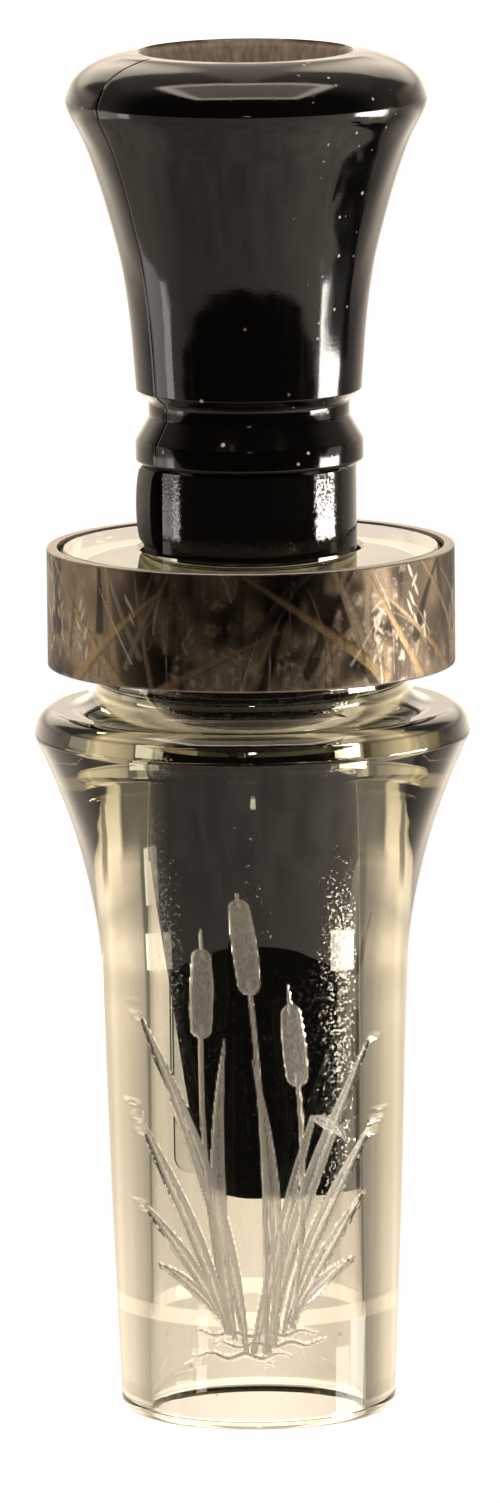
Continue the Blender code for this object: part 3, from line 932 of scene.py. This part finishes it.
def make_tone_board(material):
    profile = [
        (BOARD_HIGH.z, 0.0),
        (BOARD_HIGH.z, TENON_RADIUS - EDGE),
        (BOARD_HIGH.z - EDGE, TENON_RADIUS),
        (SHOULDER, TENON_RADIUS),
        (SHOULDER, SHANK_RADIUS),
        (SHANK_BOTTOM, SHANK_RADIUS),
        (SHANK_BOTTOM - EDGE, BOARD_RADIUS),
        (BOARD_LOW.z - 1 * MM, BOARD_RADIUS),
        (BOARD_LOW.z - 1 * MM, 0.0),
    ]
    board = turned_solid("spark_textured_board", profile)
    deep = 4 * SHANK_RADIUS
    cut(board, plate("tip", tip_outline(), deep, ALONG_Y), "INTERSECT")
    cut(board, plate("face", face_outline(), deep, ALONG_X))
    height = 1 * MM - CHANNEL_FLOOR
    cut(board, plate("channel", channel_outline(), height, ALONG_Y, (0, CHANNEL_FLOOR + height / 2, 0)))
    throat = [
        (BOARD_HIGH.z + 1 * MM, 0.0),
        (BOARD_HIGH.z + 1 * MM, THROAT_RADIUS),
        (SHOULDER - 2 * MM, THROAT_RADIUS),
        (SHOULDER - 2 * MM, 0.0),
    ]
    cut(board, turned_solid("throat", throat))
    surfaced(board, material)
    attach(board, "insert")
    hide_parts("tone_board")


def make_wedge(material):
    """The soft wedge, squeezed in the socket and swelling where the neck leaves it free."""
    floor = WEDGE_LOW.y
    nose = WEDGE_LOW.z
    bulge = WEDGE_HIGH.x
    free_low = BARREL_TOP + 0.3 * MM
    swell = []
    for t in shares(14):
        height = SHOULDER + (free_low - SHOULDER) * t
        swell.append((height, WEDGE_RADIUS + (bulge - WEDGE_RADIUS) * math.sin(math.pi * t) ** 0.35))
    profile = [(SHOULDER, 0.0)] + swell + [
        (SHANK_BOTTOM, WEDGE_RADIUS),
        (SHANK_BOTTOM - EDGE, BOARD_RADIUS),
        (nose - 1 * MM, BOARD_RADIUS),
        (nose - 1 * MM, 0.0),
    ]
    wedge = turned_solid("rubber_wedge", profile)
    far = 2 * SHANK_RADIUS
    outline = [(far, SHOULDER), (floor, SHOULDER), (floor, nose)]
    reach = math.sqrt(WEDGE_CURVE**2 - (WEDGE_CURVE - WEDGE_RADIUS) ** 2)
    for t in shares(36):
        run = reach * t
        lift = WEDGE_CURVE - math.sqrt(WEDGE_CURVE**2 - run**2)
        outline.append((floor + WEDGE_NOSE_THICKNESS + lift, nose + run))
    outline.append((far, nose + reach))
    cut(wedge, plate("side", outline, 4 * SHANK_RADIUS, ALONG_X), "INTERSECT")
    surfaced(wedge, material)
    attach(wedge, "insert")
    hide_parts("wedge")


def make_reed(name, node, low, high, dimple, material):
    """A straight strip of film with round tip corners and a dimple of the given depth near its tip."""
    half = high.x
    rows, columns = 110, 16
    middle = (low.y + high.y) / 2
    shape = bmesh.new()
    grid = []
    for i in range(rows + 1):
        along = (i / rows) ** 1.6
        z = low.z + (high.z - low.z) * along
        inset = max(0.0, REED_CORNER - (z - low.z))
        width = half - REED_CORNER + math.sqrt(max(REED_CORNER**2 - inset**2, 0.0))
        line = []
        for j in range(columns + 1):
            x = width * (2 * j / columns - 1)
            away = math.hypot(x, z - low.z - DIMPLE_UP) / DIMPLE_SPREAD
            dip = dimple * math.exp(-(away**2))
            line.append(shape.verts.new((x, middle - dip, z)))
        grid.append(line)
    for lower, upper in zip(grid, grid[1:]):
        for j in range(columns):
            shape.faces.new((lower[j], lower[j + 1], upper[j + 1], upper[j]))
    bmesh.ops.remove_doubles(shape, verts=shape.verts, dist=WELD)
    reed = object_from(name, shape)
    solid = reed.modifiers.new("Film", "SOLIDIFY")
    solid.thickness = high.y - low.y
    solid.offset = 0.0
    apply_modifiers(reed)
    surfaced(reed, material)
    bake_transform(reed)
    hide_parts(node)


# ---------------------------------------------------------------- studio and camera


SWEEP_ROUND = (  # half the brightness of the white sweep, round from behind by the left
    (0.0, 0.66), (0.042, 0.50), (0.083, 0.45), (0.117, 0.37), (0.144, 0.30), (0.172, 0.22), (0.235, 0.40),
    (0.33, 0.27), (0.5, 0.33), (0.61, 0.45), (0.69, 0.62), (0.75, 0.64), (0.80, 0.50), (0.83, 0.13),
    (0.856, 0.17), (0.889, 0.28), (0.93, 0.44), (0.972, 0.52), (1.0, 0.66),
)
SWEEP_UP = (  # half of what the part behind is multiplied by, by elevation from -90 to 90 degrees
    (0.365, 0.6), (0.405, 1.1), (0.43, 0.52), (0.455, 0.52), (0.475, 0.90), (0.51, 0.90), (0.55, 0.62),
    (0.58, 1.15), (0.61, 1.35), (0.66, 1.2),
)
SIDE_LIGHTS = (  # name, distance, turn and width in degrees, lowest and highest point in mm, strength
    ("right_light", 185, 88, 27, 20, 50, 24),
    ("right_low_light", 31, 76.6, 15.4, -8, 3, 6),
    ("left_light", 185, -86, 9, 22, 50, 4.5),
    ("left_glow", 185, -102, 22, 20, 50, 2.0),
    ("left_upper_glow", 185, -102, 16, 66, 104, 1.5),
)
STRUTS = (  # dark posts before the right light: distance, then turn, height and width at each place
    (40, (88, 78.5, 36), (91, 80.2, 28), (96, 84.0, 12)),
    (165, (79, -2, 9), (86, -16, 7), (94, -30, 2)),
)
STRUT_STRENGTH = 0.02
GAPS = (  # dark parts of the room: near and far end aside, softness, elevations they fade in over, level
    (107.0, 118.0, 2.0, -16.0, -11.0, 0.2),
    (107.0, 145.0, 4.0, 9.0, 24.0, 0.25),
)
PANELS = (  # the frame overhead and the panel in it: half width, rear and front edge as slopes, level
    (0.56, -0.30, 0.62, 6.0),
    (0.44, -0.22, 0.46, 1.8),
)
FLASH_LEVEL = 36.0
EDGE_ROUNDING = 0.6  # at 1 the sweep's front edge would be straight
REAR_RISE = 1.8  # how steeply the sweep rises behind
ROOM_TINT = (1.0, 0.865, 0.71)
LIGHT_TINT = (1.0, 0.95, 0.88)
FLOOR_HALF = 12.0


def towards(azimuth, distance, height):
    """A point that far from the object, at an azimuth turned from the camera's own towards its right."""
    angle = VIEW_AZIMUTH + azimuth
    return Vector((math.sin(angle) * distance, -math.cos(angle) * distance, height))


def glowing(name, strength, colour=(1.0, 1.0, 1.0)):
    material = bpy.data.materials.new(name)
    material.use_nodes = True
    tree = material.node_tree
    tree.nodes.remove(tree.nodes["Principled BSDF"])
    glow = add("Emission", {"Color": (*colour, 1.0), "Strength": strength}, tree)
    fill(tree.nodes["Material Output"], Surface=glow.outputs[0])
    return material


def unseen(name, rows, strength):
    """A strip of light, or a dark one, across pairs of points. The camera doesn't see it."""
    corners = [corner for row in rows for corner in row]
    faces = [(2 * i, 2 * i + 1, 2 * i + 3, 2 * i + 2) for i in range(len(rows) - 1)]
    mesh = bpy.data.meshes.new(name)
    mesh.from_pydata(corners, [], faces)
    mesh.materials.append(glowing(name, strength, LIGHT_TINT))
    card = placed(name, mesh)
    card.visible_camera = False
    card.visible_shadow = False


def level_row(distance, turn, width, z):
    """The two ends of a level line across a card. Lengths are in mm and angles in degrees."""
    sides = [math.radians(turn + side * width / 2) for side in (-1, 1)]
    return [towards(side, distance * MM, z * MM) for side in sides]


def make_side_lights():
    for name, distance, turn, width, low, high, strength in SIDE_LIGHTS:
        unseen(name, [level_row(distance, turn, width, z) for z in (low, high)], strength)
    for i, (distance, *places) in enumerate(STRUTS):
        rows = [level_row(distance, turn, width, z) for turn, z, width in places]
        unseen(f"dark_strut_{i + 1}", rows, STRUT_STRENGTH)


def make_floor():
    """The pale table top and backdrop. Reflections and refractions see the studio's walls instead."""
    mesh = bpy.data.meshes.new("floor")
    far = FLOOR_HALF
    corners = [(x, y, z) for z in (0, far) for x, y in ((-far, -far), (far, -far), (far, far), (-far, far))]
    walls = [(i, (i + 1) % 4, (i + 1) % 4 + 4, i + 4) for i in range(4)]
    mesh.from_pydata(corners, [], [(0, 1, 2, 3), *walls])
    mesh.materials.append(glowing("pale_floor", 1.0))
    floor = placed("floor", mesh)
    floor.location.z = -0.5 * MM
    floor.visible_diffuse = False
    floor.visible_glossy = False
    floor.visible_transmission = False
    floor.visible_shadow = False


def inside(value, low, high, soft):
    """1 between low and high, with soft edges."""
    past_low = rise(value, low - soft, low + soft)
    return product(past_low, rise(value, high + soft, high - soft))


def slope(value, base):
    return maths("DIVIDE", value, maths("MAXIMUM", base, 0.01))


def lit(picture, masks, level):
    """Lays a new brightness over the picture where all the masks are 1."""
    return mixed_value(product(*masks), picture, level)


def make_studio():
    """Walls of light round the call, given by direction: turn from the camera's side, and elevation."""
    world = bpy.data.worlds.new("studio")
    bpy.context.scene.world = world
    world.use_nodes = True
    tree = world.node_tree
    direction = add("TexCoord", tree=tree).outputs["Generated"]

    sine, cosine = math.sin(VIEW_AZIMUTH), math.cos(VIEW_AZIMUTH)
    toward = vectors("DOT_PRODUCT", direction, (sine, -cosine, 0.0))
    across = vectors("DOT_PRODUCT", direction, (cosine, sine, 0.0))
    up = vectors("DOT_PRODUCT", direction, (0.0, 0.0, 1.0))
    turn = maths("DEGREES", maths("ARCTAN2", across, toward))
    elevation = maths("DEGREES", maths("ARCSINE", up))
    aside = maths("ABSOLUTE", turn)

    # The white sweep: a table whose front edge lies towards the camera, and which rises behind.
    circle = maths("DIVIDE", maths("ADD", turn, 180.0), 360.0)
    sweep = product(ramp(circle, *SWEEP_ROUND), 2.0)
    upwards = ramp(maths("DIVIDE", maths("ADD", elevation, 90.0), 180.0), *SWEEP_UP)
    back = rise(aside, 100.0, 118.0)
    sweep = product(sweep, mixed_value(back, 1.0, product(upwards, 2.0)))
    clouds = ramp(noise(direction, 5.5, 3.0, 0.6), (0.36, 0.78), (0.62, 1.12))
    sweep = mixed_value(rise(elevation, -28.0, -38.0), sweep, product(sweep, clouds))
    flat = maths("COSINE", maths("ARCSINE", up))
    facing = slope(toward, flat)
    forward = maths("POWER", maths("MAXIMUM", facing, 0.0), EDGE_ROUNDING)
    rearward = product(maths("MINIMUM", facing, 0.0), REAR_RISE)
    reach = product(maths("ADD", forward, rearward), flat)
    ragged = product(maths("SUBTRACT", noise(direction, 160, 3.0), 0.5), 0.010)
    edge = maths("ADD", maths("ADD", up, product(reach, 0.5)), ragged)
    picture = maths("ADD", product(rise(toward, 0.25, -0.5), 0.35), 0.03)
    picture = lit(picture, [rise(edge, 0.004, -0.004)], sweep)
    # The room behind goes dark between the side lights and the backdrop, and above the backdrop.
    for near, far, soft, start, end, level in GAPS:
        gap = [inside(aside, near, far, soft), rise(elevation, start, end)]
        picture = lit(picture, gap, level)
    picture = lit(picture, [back, rise(elevation, 36.0, 46.0)], 0.38)
    picture = lit(picture, [rise(aside, 170.0, 176.0), rise(elevation, 12.0, 17.0)], 0.8)
    # The overhead panel and its bright frame, and a small flash over the camera.
    for half_side, rear, front, level in PANELS:
        panel = [inside(slope(across, up), -half_side, half_side, 0.05)]
        panel += [inside(slope(toward, up), rear, front, 0.05)]
        picture = lit(picture, panel, level)
    flash = [inside(slope(across, toward), -0.04, 0.04, 0.008)]
    flash += [inside(slope(up, toward), 0.375, 0.41, 0.006)]
    picture = lit(picture, flash, FLASH_LEVEL)
    tint = mixed(rise(picture, 2.0, 14.0), ROOM_TINT, LIGHT_TINT)
    fill(tree.nodes["Background"], Color=tint, Strength=picture)
    make_side_lights()
    make_floor()


def make_camera():
    data = bpy.data.cameras.new("camera")
    data.lens = CAMERA_LENS
    data.sensor_width = 36
    data.clip_start = 0.05
    data.clip_end = 60
    camera = placed("camera", data)
    camera.location = towards(0, CAMERA_DISTANCE, CAMERA_HEIGHT)
    across = Vector((math.cos(VIEW_AZIMUTH), math.sin(VIEW_AZIMUTH), 0)) * AIM_ACROSS
    aim = Vector((0, 0, AIM_HEIGHT)) + across
    look = (aim - camera.location).to_track_quat("-Z", "Y").to_matrix().to_4x4()
    roll = Matrix.Rotation(CAMERA_ROLL, 4, Vector((0, 0, 1)))
    camera.matrix_world = Matrix.Translation(camera.location) @ look @ roll
    bpy.context.scene.camera = camera
    bpy.context.scene.view_settings.view_transform = "Standard"


def main():
    film = reed_film()
    make_barrel(smoke_clear())
    make_band(printed_metal())
    make_bell(polished_black())
    make_tone_board(satin_black())
    make_wedge(black_rubber())
    make_reed("lower_film_reed", "lower_reed", LOWER_LOW, LOWER_HIGH, 0.0, film)
    make_reed("upper_film_reed", "upper_reed", UPPER_LOW, UPPER_HIGH, 0.10 * MM, film)
    make_studio()
    make_camera()


main()
bpy.context.view_layer.update()
